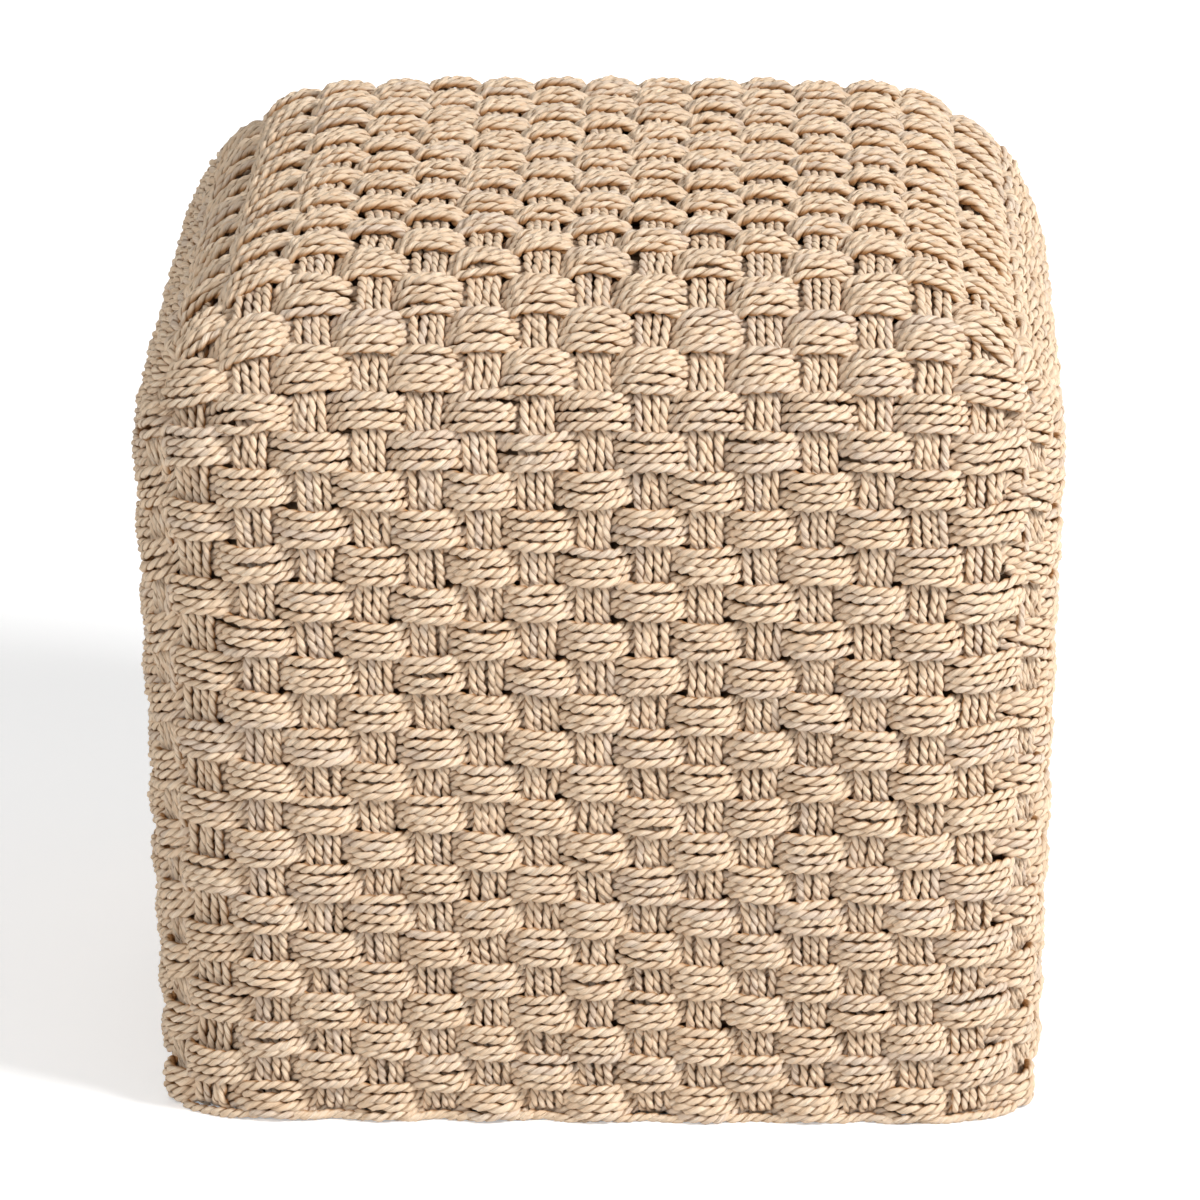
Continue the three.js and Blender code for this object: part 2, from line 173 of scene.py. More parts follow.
BASE_RADIUS = EDGE_RADIUS - FLOAT_RISE
FLAT_X = WIDTH / 2 - EDGE_RADIUS
FLAT_Y = DEPTH / 2 - EDGE_RADIUS
FACE_HALF = WIDTH / 2 - FACE_INSET
SEAT_HALF = DEPTH / 2 - SIDE_INSET
SHOULDER = HEIGHT - EDGE_RADIUS
GROUP_PITCH = 2 * FACE_HALF / GROUPS
SIDE_PITCH = 2 * SEAT_HALF / SIDE_GROUPS
EDGE_BAND = SEAT_HALF + SIDE_PITCH
GROUP_NUMBERS = np.arange(GROUPS) + 1
GROUP_PLACES = (GROUP_NUMBERS - 0.5) * GROUP_PITCH - FACE_HALF
GROUP_PLACES[:len(LEFT_COLUMN_SHIFTS)] += LEFT_COLUMN_SHIFTS
SIDE_NUMBERS = np.arange(SIDE_GROUPS) + 1
SIDE_PLACES = (SIDE_NUMBERS - 0.5) * SIDE_PITCH - SEAT_HALF
HALF_ROUND = GROUPS + SIDE_GROUPS + 2
CORNERS = (0, GROUPS + 1, HALF_ROUND, HALF_ROUND + GROUPS + 1, 2 * HALF_ROUND)


# Body surface
def past(value, flat):
    return np.maximum(0, np.abs(value) - flat)


def reach_of(x, y):
    dx, dy = past(x, FLAT_X), past(y, FLAT_Y)
    return (dx ** CORNER_POWER + dy ** CORNER_POWER) ** (1 / CORNER_POWER)


def remaining(reach, used):
    left = np.maximum(0, reach ** CORNER_POWER - used ** CORNER_POWER)
    return left ** (1 / CORNER_POWER)


def level_at(x, y):
    """Distance up the rounded edge of the place above a point of the plan."""
    share = np.minimum(1, reach_of(x, y) / BASE_RADIUS)
    return SHOULDER + EDGE_RADIUS * np.arccos(share)


def profile_at(level):
    angle = np.maximum(0, level - SHOULDER) / EDGE_RADIUS
    height = np.where(level <= SHOULDER, level, SHOULDER + BASE_RADIUS * np.sin(angle))
    return BASE_RADIUS * np.cos(angle), height


def tuck_at(x, z):
    """How far the left and right sides are drawn in near the floor."""
    return FOOT_TUCK * np.maximum(0, 1 - z / TUCK_HEIGHT) ** 2 * (past(x, FLAT_X) / BASE_RADIUS) ** 4


def placed(x, y, z):
    """Points of the body and their outward normals, with the taper and the crown put in."""
    dx, dy = past(x, FLAT_X), past(y, FLAT_Y)
    reach = np.maximum(1e-9, reach_of(x, y))
    normal = np.stack([
        np.sign(x) * reach * (dx / reach) ** (CORNER_POWER - 1),
        np.sign(y) * reach * (dy / reach) ** (CORNER_POWER - 1),
        np.maximum(0, z - SHOULDER),
    ], axis=1)
    normal /= np.linalg.norm(normal, axis=1, keepdims=True)
    foot = np.maximum(0, 1 - z / FOOT_HEIGHT) ** 2
    square = np.maximum(1e-9, (dx ** FOOT_POWER + dy ** FOOT_POWER) ** (1 / FOOT_POWER))
    spread = foot * (reach / square - 1)
    x = x + np.sign(x) * (spread * dx - tuck_at(x, z))
    y = y + np.sign(y) * spread * dy
    scale = 1 - TAPER_SHARE * np.maximum(0, (TAPER_TOP - z) / TAPER_TOP)
    climb = np.maximum(0, (z - SHOULDER) / BASE_RADIUS)
    crown = CROWN_RISE * climb ** 2 * (1 - (2 * x / WIDTH) ** 2) * (1 - (2 * y / DEPTH) ** 2)
    return np.stack([x * scale, y * scale, z + crown], axis=1), normal


def over_edge(y):
    """Distance from the seat's middle line to a place on it, over the rounded edge."""
    round_part = EDGE_RADIUS * math.asin(past(y, FLAT_Y) / BASE_RADIUS)
    return math.copysign(min(abs(y), FLAT_Y) + round_part, y)


# Layout of rows
def edge_line(x):
    return np.minimum(EDGE_BAND, FLAT_Y + remaining(BASE_RADIUS * math.cos(CORNER_DIP), past(x, FLAT_X)))


def face_top(x):
    return level_at(x, edge_line(x))


def side_top(y):
    return level_at(FACE_HALF, y)


ROWS = np.arange(RINGS + 1)
GROWTH = (TOP_RING_PITCH - BOTTOM_RING_PITCH) / (2 * RINGS)
ROW_SHARES = BOTTOM_RING_PITCH * ROWS + GROWTH * ROWS ** 2
ROW_SHARES = ROW_SHARES / ROW_SHARES[-1]
BEND = SHOULDER - TOP_RING_PITCH


def dipped(level, top, middle_top):
    """The uppermost rows bend down with the top line where it nears a corner."""
    share = np.clip((level - BEND) / (middle_top - BEND), 0, 1)
    return level - (middle_top - top) * share ** DIP_POWER


def level_of_row(row, top, middle_top):
    level = FLOOR_GAP + np.interp(row, ROWS, ROW_SHARES) * (middle_top - FLOOR_GAP)
    return dipped(level, top, middle_top)


def row_of_level(level, top, middle_top):
    """Row numbers of the levels of one upright line, whose top line is at the level top."""
    plain = np.linspace(0, middle_top, LEVEL_POINTS)
    level = np.interp(level, dipped(plain, top, middle_top), plain)
    return np.interp((level - FLOOR_GAP) / (middle_top - FLOOR_GAP), ROW_SHARES, ROWS)


# Lines that the groups of cords follow. Each gives points, normals and a crossing number that
# passes a whole number at the middle of every group crossed.
def arch(edge):
    """Across the top from one side to the other, closer together where the side turns over."""
    return -edge * np.cos(np.linspace(0, math.pi, ARCH_POINTS))


def upright_line(x0):
    edge = FLAT_Y + remaining(BASE_RADIUS, past(x0, FLAT_X))
    climb = np.linspace(FLOOR_GAP, SHOULDER, CLIMB_POINTS)[:-1]
    over = arch(edge)
    y = np.concatenate([np.full(climb.size, -edge), over, np.full(climb.size, edge)])
    x = np.full(y.size, x0)
    top = SHOULDER + np.sqrt(np.maximum(0, BASE_RADIUS ** 2 - reach_of(x0, over) ** 2))
    z = np.concatenate([climb, top, climb[::-1]])
    level = np.where(z <= SHOULDER, z, level_at(x, y))
    row = row_of_level(level, face_top(x0), face_top(0.0)) - 0.5
    limit = float(edge_line(x0))
    band = np.interp(y, [-limit, -SEAT_HALF, SEAT_HALF, limit], [0, 1, SIDE_GROUPS + 1, SIDE_GROUPS + 2])
    crossing = np.where(np.abs(y) < limit, RINGS - 0.5 + band, row)
    last = 2 * RINGS + SIDE_GROUPS + 1
    crossing = np.where((np.abs(y) >= limit) & (y > 0), last - row, crossing)
    return (*placed(x, y, z), crossing)


def corner_place(row, share):
    """Plan and height of a place on the front right corner band, share of the way to the side."""
    low = level_of_row(row, face_top(FACE_HALF), face_top(0.0))
    high = level_of_row(row, side_top(SEAT_HALF), side_top(0.0))
    start = np.arccos(((FACE_HALF - FLAT_X) / profile_at(low)[0]) ** (CORNER_POWER / 2))
    end = np.arcsin(((SEAT_HALF - FLAT_Y) / profile_at(high)[0]) ** (CORNER_POWER / 2))
    angle = start + (end - start) * share
    reach, z = profile_at(low + (high - low) * share)
    x = FLAT_X + reach * np.cos(angle) ** (2 / CORNER_POWER)
    return x, -(FLAT_Y + reach * np.sin(angle) ** (2 / CORNER_POWER)), z


def group_number(x):
    """Number of the upright group at a place on the seat, by halves between the groups."""
    return np.interp(x, [-FACE_HALF, *GROUP_PLACES, FACE_HALF], [0.5, *GROUP_NUMBERS, GROUPS + 0.5])


def corner_hoop_line(front):
    """From the left corner's foot up the middle of its band, along the seat's edge and down."""
    row = np.linspace(0, RINGS, CORNER_CLIMB_POINTS)
    x, y, z = corner_place(row, 0.5)
    over = np.linspace(-FACE_HALF, FACE_HALF, EDGE_POINTS)[1:-1]
    y0 = np.full(over.size, -(SEAT_HALF + SIDE_PITCH / 2))
    top = SHOULDER + np.sqrt(BASE_RADIUS ** 2 - reach_of(over, y0) ** 2)
    x = np.concatenate([-x, over, x[::-1]])
    y = front * np.concatenate([y, y0, y[::-1]])
    z = np.concatenate([z, top, z[::-1]])
    across = RINGS - 1 + group_number(over)
    crossing = np.concatenate([row - 0.5, across, 2 * RINGS + GROUPS - 0.5 - row[::-1]])
    return (*placed(x, y, z), crossing)


def hoop_line(y0):
    edge = FLAT_X + remaining(BASE_RADIUS, past(y0, FLAT_Y))
    climb = np.linspace(FLOOR_GAP, SHOULDER, CLIMB_POINTS)[:-1]
    over = arch(edge)
    x = np.concatenate([np.full(climb.size, -edge), over, np.full(climb.size, edge)])
    y = np.full(x.size, y0)
    top = SHOULDER + np.sqrt(np.maximum(0, BASE_RADIUS ** 2 - reach_of(over, y0) ** 2))
    z = np.concatenate([climb, top, climb[::-1]])
    level = np.where(z <= SHOULDER, z, level_at(x, y))
    row = row_of_level(level, side_top(y0), side_top(0.0)) - 0.5
    crossing = np.where(np.abs(x) < FACE_HALF, RINGS - 1 + group_number(x), row)
    last = 2 * RINGS + GROUPS - 1
    crossing = np.where((np.abs(x) >= FACE_HALF) & (x > 0), last - row, crossing)
    return (*placed(x, y, z), crossing)


def reach_on(gap):
    """Share of a crossing that an end float has left at the face's end, gap from its middle."""
    return 0.5 * gap / (gap + CORNER_SHARE * CORNER_WIDTH)


LEFT_END = reach_on(GROUP_PLACES[0] + FACE_HALF)
RIGHT_END = reach_on(FACE_HALF - GROUP_PLACES[-1])
SIDE_END = reach_on(SIDE_PITCH / 2)


def ring_line(row):
    """Once round the body, anticlockwise seen from above, from the front left corner band."""
    x = np.linspace(-FACE_HALF, FACE_HALF, FACE_POINTS)
    reach, z = profile_at(level_of_row(row, face_top(x), face_top(0.0)))
    depth = FLAT_Y + remaining(reach, past(x, FLAT_X))
    number = np.interp(
        x, [-FACE_HALF, *GROUP_PLACES, FACE_HALF], [1 - LEFT_END, *GROUP_NUMBERS, GROUPS + RIGHT_END],
    )
    front = np.stack([x, -depth, z, number])
    back = np.stack([x, depth, z, GROUPS + 1 - number])[:, ::-1]

    y = np.linspace(-SEAT_HALF, SEAT_HALF, FACE_POINTS)
    reach, z = profile_at(level_of_row(row, side_top(y), side_top(0.0)))
    width = FLAT_X + remaining(reach, past(y, FLAT_Y))
    number = np.interp(
        y, [-SEAT_HALF, *SIDE_PLACES, SEAT_HALF], [1 - SIDE_END, *SIDE_NUMBERS, SIDE_GROUPS + SIDE_END],
    )
    right = np.stack([width, y, z, number])
    left = np.stack([-width, -y, z, number])

    share = np.linspace(0, 1, BAND_POINTS)[1:-1]
    places = [0, CORNER_SHARE, 0.5, 1 - CORNER_SHARE, 1]
    x, y, z = corner_place(row, share)
    number = np.interp(share, places, [RIGHT_END - 1, -0.5, 0, 0.5, 1 - SIDE_END])
    front_right = np.stack([x, y, z, number])
    back_right = np.stack([x, -y, z, -number])[:, ::-1]
    number = np.interp(share, places, [LEFT_END - 1, -0.5, 0, 0.5, 1 - SIDE_END])
    back_left = np.stack([-x, -y, z, number])
    front_left = np.stack([-x, y, z, -number])[:, ::-1]

    parts = [front, front_right, right, back_right, back, back_left, left, front_left]
    steps = [0, GROUPS + 1, 0, SIDE_GROUPS + 1, 0, GROUPS + 1, 0, SIDE_GROUPS + 1]
    for part, start in zip(parts, np.cumsum(steps)):
        part[3] += start
    x, y, z, crossing = np.concatenate(parts, axis=1)
    return (*placed(x, y, z), crossing)


# Cords
def wander(rng, along, scale, amount, closed=False):
    """A value that drifts smoothly along a line, by about amount over each scale."""
    span = along[-1] - along[0]
    knots = max(2, round(span / scale))
    values = rng.normal(0, amount, knots + 2)
    if closed:
        values[knots] = values[0]
    at = (along - along[0]) / span * knots
    low = np.minimum(at.astype(int), knots)
    share = at - low
    share = share * share * (3 - 2 * share)
    return values[low] * (1 - share) + values[low + 1] * share


def lengths(points):
    steps = np.linalg.norm(np.diff(points, axis=0), axis=1)
    return np.concatenate([[0], np.cumsum(steps)])


def resampled(along, values, at):
    return np.stack([np.interp(at, along, column) for column in values.T], axis=1)


def unit(vectors):
    return vectors / np.linalg.norm(vectors, axis=1, keepdims=True)


def section():
    """Angles and radii of a two-ply cord's outline, a ridge at 0 and at half a turn."""
    angle = np.arange(SECTION) * 2 * math.pi / SECTION
    across = np.abs(np.cos(angle))
    radius = PLY_OFFSET * across + np.sqrt(PLY_RADIUS ** 2 - PLY_OFFSET ** 2 * (1 - across ** 2))
    return angle, radius


SECTION_ANGLES, SECTION_RADII = section()


def sweep(points, normals, closed, rng, girth, twist, lowest):
    """One S-twisted cord: its rings of vertices, how far each faces outwards, and the distances
    along. Its underside is pressed flat at lowest, measured from its middle, clear of the frame."""
    if closed:
        points = np.concatenate([points, points[:1]])
        normals = np.concatenate([normals, normals[:1]])
        girth = np.concatenate([girth, girth[:1]])
        lowest = np.concatenate([lowest, lowest[:1]])
    along = lengths(points)
    length = along[-1]
    count = round(length / STEP)
    at = np.arange(count + (0 if closed else 1)) * length / count
    centre = resampled(along, points, at)
    if closed:
        tangent = np.roll(centre, -1, axis=0) - np.roll(centre, 1, axis=0)
    else:
        tangent = np.gradient(centre, axis=0)
    tangent = unit(tangent)
    normal = resampled(along, normals, at)
    normal = unit(normal - np.sum(normal * tangent, axis=1, keepdims=True) * tangent)
    side = np.cross(tangent, normal)
    turns = max(1, round(length / (twist * rng.uniform(1 - TWIST_SPREAD, 1 + TWIST_SPREAD))))
    loose = wander(rng, at, *LOOSE_TWIST, closed)
    angle = rng.uniform(0, 2 * math.pi) - 2 * math.pi * turns * at / length + loose
    angle = angle[:, None] + SECTION_ANGLES[None, :]
    uneven = rng.uniform(1 - GIRTH_SPREAD, 1 + GIRTH_SPREAD) + wander(rng, at, *UNEVEN_GIRTH, closed)
    girth = np.interp(at, along, girth) * uneven
    radius = girth[:, None] * SECTION_RADII[None, :]
    radius = radius * (1 + FUZZ * rng.normal(0, 1, radius.shape).clip(-FUZZ_LIMIT, FUZZ_LIMIT))
    facing = np.cos(angle)
    up = np.maximum(radius * facing, np.interp(at, along, lowest)[:, None])
    across = radius * np.sin(angle)
    rings = centre[:, None] + up[..., None] * normal[:, None] + across[..., None] * side[:, None]
    return rings, facing, at


def cover_piece(name, mesh, material):
    """Puts a mesh of the cover in the scene, on the part's one body."""
    mesh.shade_smooth()
    mesh.materials.append(material)
    piece = bpy.data.objects.new(name, mesh)
    bpy.context.scene.collection.objects.link(piece)
    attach(piece, "root")
    return piece


def cord_piece(name, cords, material, bake_rows=BAKE_ROWS):
    """One mesh of several cords, each (vertex rings, facing, distances, closed, tone). Nothing in
    it lies below the floor."""
    vertices, corners, starts, along, around, bake_u, bake_v = [], [], [], [], [], [], []
    tones, facings = [], []
    base = loops = 0
    rows_all = bake_rows * len(cords)
    for index, (rings, facing, at, closed, tone) in enumerate(cords):
        count = len(rings)
        spans = count if closed else count - 1
        low = np.arange(spans)
        high = (low + 1) % count
        k = np.arange(SECTION)
        after = (k + 1) % SECTION
        quads = np.stack([
            low[:, None] * SECTION + k,
            low[:, None] * SECTION + after,
            high[:, None] * SECTION + after,
            high[:, None] * SECTION + k,
        ], axis=-1)
        vertices.append(rings.reshape(-1, 3))
        corners.append((quads + base).reshape(-1))
        starts.append(loops + 4 * np.arange(spans * SECTION))
        loops += 4 * spans * SECTION
        step = at[1] - at[0]
        u = np.stack([low, low, low + 1, low + 1], axis=-1)[:, None, :] * step
        v = np.stack([k, k + 1, k + 1, k], axis=-1)[None, :, :] / SECTION
        along.append(np.broadcast_to(u, (spans, SECTION, 4)).reshape(-1))
        around.append(np.broadcast_to(v, (spans, SECTION, 4)).reshape(-1))
        per_row = math.ceil(spans / bake_rows)
        row = low // per_row
        place = (low - row * per_row)[:, None, None] + np.array([0, 0, 1, 1])[None, None, :]
        bake = BAKE_MARGIN_U + (1 - 2 * BAKE_MARGIN_U) * place / per_row
        bake_u.append(np.broadcast_to(bake, (spans, SECTION, 4)).reshape(-1))
        strip = (index * bake_rows + row)[:, None, None] + BAKE_MARGIN_V + (1 - 2 * BAKE_MARGIN_V) * v
        bake_v.append((strip / rows_all).reshape(-1))
        if not closed:
            for end, order in ((0, k[::-1]), (count - 1, k)):
                corners.append(base + end * SECTION + order)
                starts.append(np.array([loops]))
                loops += SECTION
                for store in (along, around, bake_u, bake_v):
                    store.append(np.full(SECTION, store[-1][-1]))
        tones.append(np.full(count * SECTION, tone))
        facings.append(facing.ravel())
        base += count * SECTION

    mesh = bpy.data.meshes.new(name)
    vertices = np.concatenate(vertices).astype(np.float32)
    vertices[:, 2] = np.maximum(vertices[:, 2], 0)
    corners, starts = np.concatenate(corners), np.concatenate(starts)
    mesh.vertices.add(len(vertices))
    mesh.vertices.foreach_set("co", vertices.ravel())
    mesh.loops.add(len(corners))
    mesh.loops.foreach_set("vertex_index", corners.astype(np.int32))
    mesh.polygons.add(len(starts))
    mesh.polygons.foreach_set("loop_start", starts.astype(np.int32))
    mesh.update(calc_edges=True)
    for title, u, v in (("Cord", along, around), ("OFBake", bake_u, bake_v)):
        layer = mesh.uv_layers.new(name=title, do_init=False)
        pairs = np.stack([np.concatenate(u), np.concatenate(v)], axis=1).astype(np.float32)
        layer.uv.foreach_set("vector", pairs.ravel())
    for title, values in (("tone", tones), ("facing", facings)):
        layer = mesh.attributes.new(title, "FLOAT", "POINT")
        layer.data.foreach_set("value", np.concatenate(values).astype(np.float32))
    return cover_piece(name, mesh, material)


def tucked(points, lift):
    """Draws the ends of a group in under the hem."""
    low = np.clip(1 - (points[:, 2] - FLOOR_GAP) / HEM_TUCK_HEIGHT, 0, 1)
    return lift - HEM_TUCK_DEPTH * low ** 2


def full_wave(phase):
    """1 at the middle of a float and -1 under a crossing, steeper between than a cosine."""
    wave = np.cos(phase)
    return wave * np.sqrt((1 + FLOAT_FULLNESS) / (1 + FLOAT_FULLNESS * wave ** 2))


def float_spacing(pitch, count, phase):
    """Distance between the cords of a band, which spread where they float over a crossing."""
    over = 0.5 + 0.5 * np.cos(phase)
    closed_up = CLOSED_UP_SHARE * pitch / count
    return closed_up + np.maximum(FLOAT_SPACING - closed_up, 0.0) * over


def pressed(girth, phase):
    """Girth of cords that lie wider where others cross over them."""
    return girth * (1 + PRESSED * (0.5 - 0.5 * np.cos(phase)))


def group_of_cords(seed, line, count, spacing, lift, dome, girth, twist, closed=False, slack=1.0):
    """The side-by-side cords of one group. spacing, lift, dome and girth are arrays along it."""
    points, normals, _ = line
    rng = np.random.default_rng(seed)
    along = lengths(points)
    if closed:
        tangent = np.roll(points, -1, axis=0) - np.roll(points, 1, axis=0)
    else:
        tangent = np.gradient(points, axis=0)
    side = np.cross(unit(tangent), normals)
    drift = wander(rng, along, *GROUP_DRIFT, closed)
    rise = wander(rng, along, *GROUP_RISE, closed)
    cords = []
    for index in range(count):
        place = index - (count - 1) / 2
        offset = place * spacing + drift + slack * wander(rng, along, *CORD_DRIFT, closed)
        share = place / ((count - 1) / 2)
        height = lift + rise - dome * share ** 2 + slack * wander(rng, along, *CORD_RISE, closed)
        path = points + normals * height[:, None] + side * offset[:, None]
        room = FRAME_DEPTH - FRAME_STEP * index - tuck_at(points[:, 0], points[:, 2])
        lowest = np.minimum(-(room + height), MOST_FLAT)
        rings, facing, at = sweep(path, normals, closed, rng, girth, twist, lowest)
        cords.append((rings, facing, at, closed, rng.uniform(0, 1)))
    return cords


def smooth_step(value, low, high):
    share = np.clip((value - low) / (high - low), 0, 1)
    return share * share * (3 - 2 * share)


# Colours, linear red, green, blue and alpha
BLACK = (0, 0, 0, 1)
WHITE = (1, 1, 1, 1)
STRAW = (0.79, 0.58, 0.395, 1)
PALE_STRAW = (0.92, 0.735, 0.545, 1)
GREYED_STRAW = (0.65, 0.55, 0.48, 1)
BRIGHT_THREAD = (0.97, 0.86, 0.71, 1)
DARK_FIBRE = (0.48, 0.30, 0.16, 1)
# Painted shade: darkens the crease between the two plies of every cord
PLY_CREASE_SHADE = (0.21, 0.10, 0.035, 1)
# Painted shade: darkens and warms the flanks of every cord, which face sideways or inwards
FLANK_SHADE = (0.56, 0.385, 0.235, 1)
# Painted shade: the next four colours paint the sheet behind the cords dark brown, standing for the
# shadow inside the weave
INNER_SHADE_BROWN = (0.19, 0.12, 0.065, 1)
INNER_SHADE_PALE = (0.30, 0.20, 0.12, 1)
INNER_SHADE_CREASE = (0.07, 0.04, 0.02, 1)
INNER_SHADE_FIBRE = (0.38, 0.27, 0.17, 1)
COATING = (0.12, 0.09, 0.065, 1)
COATING_PALE = (0.18, 0.135, 0.10, 1)
COATING_WORN = (0.30, 0.25, 0.20, 1)
GLIDE_BLACK = (0.022, 0.021, 0.02, 1)
GLIDE_SCUFF = (0.07, 0.066, 0.06, 1)

# How far apart the noise textures are read on cords whose tones are 0 and 1
TONE_OFFSET = 97.0


# Materials
class Nodes:
    """Short calls for building the nodes of one material, or of the world."""

    def __init__(self, owner, shader="Principled BSDF"):
        owner.use_nodes = True
        self.owner = owner
        self.tree = owner.node_tree
        self.shader = self.tree.nodes[shader]

    def add(self, kind, inputs=None, **settings):
        node = self.tree.nodes.new(kind)
        for key, value in settings.items():
            setattr(node, key, value)
        for key, value in (inputs or {}).items():
            self.put(node, key, value)
        return node

    def put(self, node, key, value):
        if isinstance(value, bpy.types.NodeSocket):
            self.tree.links.new(value, node.inputs[key])
        else:
            node.inputs[key].default_value = value

    def math(self, operation, a, b=0.0, c=0.0):
        return self.add("ShaderNodeMath", {0: a, 1: b, 2: c}, operation=operation).outputs[0]

    def span(self, value, low, high, start=0.0, end=1.0):
        inputs = {"Value": value, "From Min": low, "From Max": high, "To Min": start, "To Max": end}
        return self.add("ShaderNodeMapRange", inputs).outputs[0]

    def noise(self, vector, scale, detail=2.0, roughness=0.5):
        inputs = {"Vector": vector, "Scale": scale, "Detail": detail, "Roughness": roughness}
        return self.add("ShaderNodeTexNoise", inputs).outputs["Fac"]

    def mix(self, share, first, second, blend="MIX"):
        node = self.add("ShaderNodeMix", data_type="RGBA", blend_type=blend)
        for index, value in ((0, share), (6, first), (7, second)):
            self.put(node, index, value)
        return node.outputs[2]

    def seen(self):
        """1 where it is seen directly, in a reflection or through glass, 0 where it only lights."""
        rays = self.add("ShaderNodeLightPath").outputs
        seen = self.math("MAXIMUM", rays["Is Camera Ray"], rays["Is Glossy Ray"])
        return self.math("MAXIMUM", seen, rays["Is Transmission Ray"])

    def bump(self, height, strength, distance):
        node = self.add("ShaderNodeBump", {"Height": height, "Strength": strength, "Distance": distance})
        self.put(self.shader, "Normal", node.outputs[0])


def cord_material():
    nodes = Nodes(bpy.data.materials.new("twisted_cord"))
    uv = nodes.add("ShaderNodeUVMap", uv_map="Cord").outputs[0]
    parts = nodes.add("ShaderNodeSeparateXYZ", {0: uv})
    along, around = parts.outputs[0], parts.outputs[1]
    tone = nodes.add("ShaderNodeAttribute", attribute_name="tone").outputs["Fac"]
    facing = nodes.add("ShaderNodeAttribute", attribute_name="facing").outputs["Fac"]

    def strand(lengthwise, crosswise):
        """Coordinates that follow the plies, other on every cord."""
        return nodes.add("ShaderNodeCombineXYZ", {
            0: nodes.math("MULTIPLY", along, lengthwise),
            1: nodes.math("MULTIPLY", around, crosswise),
            2: nodes.math("MULTIPLY", tone, TONE_OFFSET),
        }).outputs[0]

    fibres = nodes.noise(strand(150.0, 28.0), 1.0, 3.0, 0.65)
    threads = nodes.noise(strand(70.0, 12.0), 1.0, 2.0, 0.55)
    patches = nodes.noise(strand(60.0, 2.0), 1.0, 2.0, 0.5)
    drift = nodes.noise(strand(11.0, 0.6), 1.0, 1.0, 0.5)
    ridge = nodes.math("COSINE", nodes.math("MULTIPLY", around, 4 * math.pi))

    colour = nodes.mix(nodes.span(patches, 0.3, 0.7), STRAW, PALE_STRAW)
    grey = nodes.span(nodes.math("ADD", drift, nodes.math("MULTIPLY", tone, 0.3)), 0.7, 0.9, 0.0, 0.5)
    colour = nodes.mix(grey, colour, GREYED_STRAW)
    colour = nodes.mix(nodes.span(threads, 0.52, 0.7, 0.0, 0.6), colour, BRIGHT_THREAD)
    colour = nodes.mix(nodes.span(fibres, 0.45, 0.28, 0.0, 0.5), colour, DARK_FIBRE)
    # Painted shade: the crease between the two plies is darkened in the colour, less on the bright
    # threads
    crease_shade = nodes.span(ridge, -0.55, -1.0, 0.0, 0.85)
    crease_shade = nodes.math("MULTIPLY", crease_shade, nodes.span(threads, 0.66, 0.4, 0.25, 1.0))
    colour = nodes.mix(crease_shade, colour, PLY_CREASE_SHADE)
    # Painted shade: where a cord's surface faces sideways or inwards, the colour is multiplied darker
    # and warmer
    flank_shade = nodes.span(facing, 0.55, -0.2)
    colour = nodes.mix(flank_shade, colour, FLANK_SHADE, "MULTIPLY")
    nodes.put(nodes.shader, "Base Color", colour)
    nodes.put(nodes.shader, "Roughness", nodes.span(fibres, 0.3, 0.7, 0.95, 0.75))
    nodes.put(nodes.shader, "Specular IOR Level", 0.03)
    height = nodes.math("ADD", fibres, nodes.math("MULTIPLY", threads, 1.2))
    nodes.bump(height, 0.9, 0.0009)
    return nodes.owner


# Painted shade: the sheet behind the cords is dark brown with darker rows, standing for the shadow
# inside the weave
def inner_weave_shade():
    nodes = Nodes(bpy.data.materials.new("inner_weave_shade"))
    place = nodes.add("ShaderNodeTexCoord").outputs["Object"]
    uv = nodes.add("ShaderNodeUVMap", uv_map="OFBake").outputs[0]
    parts = nodes.add("ShaderNodeSeparateXYZ", {0: uv})
    cloud = nodes.noise(place, 45.0, 3.0, 0.6)
    fibres = nodes.noise(place, 900.0, 3.0, 0.6)
    row = nodes.math("MULTIPLY", parts.outputs[1], INNER_ROWS * 2 * math.pi)
    ridge = nodes.math("SINE", nodes.math("ADD", row, nodes.math("MULTIPLY", cloud, 6.0)))
    colour = nodes.mix(nodes.span(cloud, 0.3, 0.7), INNER_SHADE_BROWN, INNER_SHADE_PALE)
    colour = nodes.mix(nodes.span(ridge, 0.2, -1.0, 0.0, 0.7), colour, INNER_SHADE_CREASE)
    colour = nodes.mix(nodes.span(fibres, 0.5, 0.75, 0.0, 0.4), colour, INNER_SHADE_FIBRE)
    nodes.put(nodes.shader, "Base Color", colour)
    nodes.put(nodes.shader, "Roughness", nodes.span(cloud, 0.3, 0.7, 0.88, 0.98))
    nodes.put(nodes.shader, "Specular IOR Level", 0.1)
    nodes.bump(nodes.math("ADD", nodes.math("MULTIPLY", ridge, 2.0), fibres), 0.7, 0.0008)
    return nodes.owner


def painted_tube():
    nodes = Nodes(bpy.data.materials.new("tube_coating"))
    place = nodes.add("ShaderNodeTexCoord").outputs["Object"]
    grain = nodes.noise(place, 900.0, 3.0, 0.6)
    cloud = nodes.noise(place, 14.0, 3.0, 0.55)
    wear = nodes.noise(place, 60.0, 4.0, 0.7)
    colour = nodes.mix(nodes.span(cloud, 0.3, 0.7), COATING, COATING_PALE)
    colour = nodes.mix(nodes.span(wear, 0.68, 0.8, 0.0, 0.4), colour, COATING_WORN)
    nodes.put(nodes.shader, "Base Color", colour)
    nodes.put(nodes.shader, "Roughness", nodes.span(cloud, 0.3, 0.7, 0.42, 0.58))
    nodes.put(nodes.shader, "Metallic", 0.2)
    nodes.bump(grain, 0.25, 0.0002)
    return nodes.owner


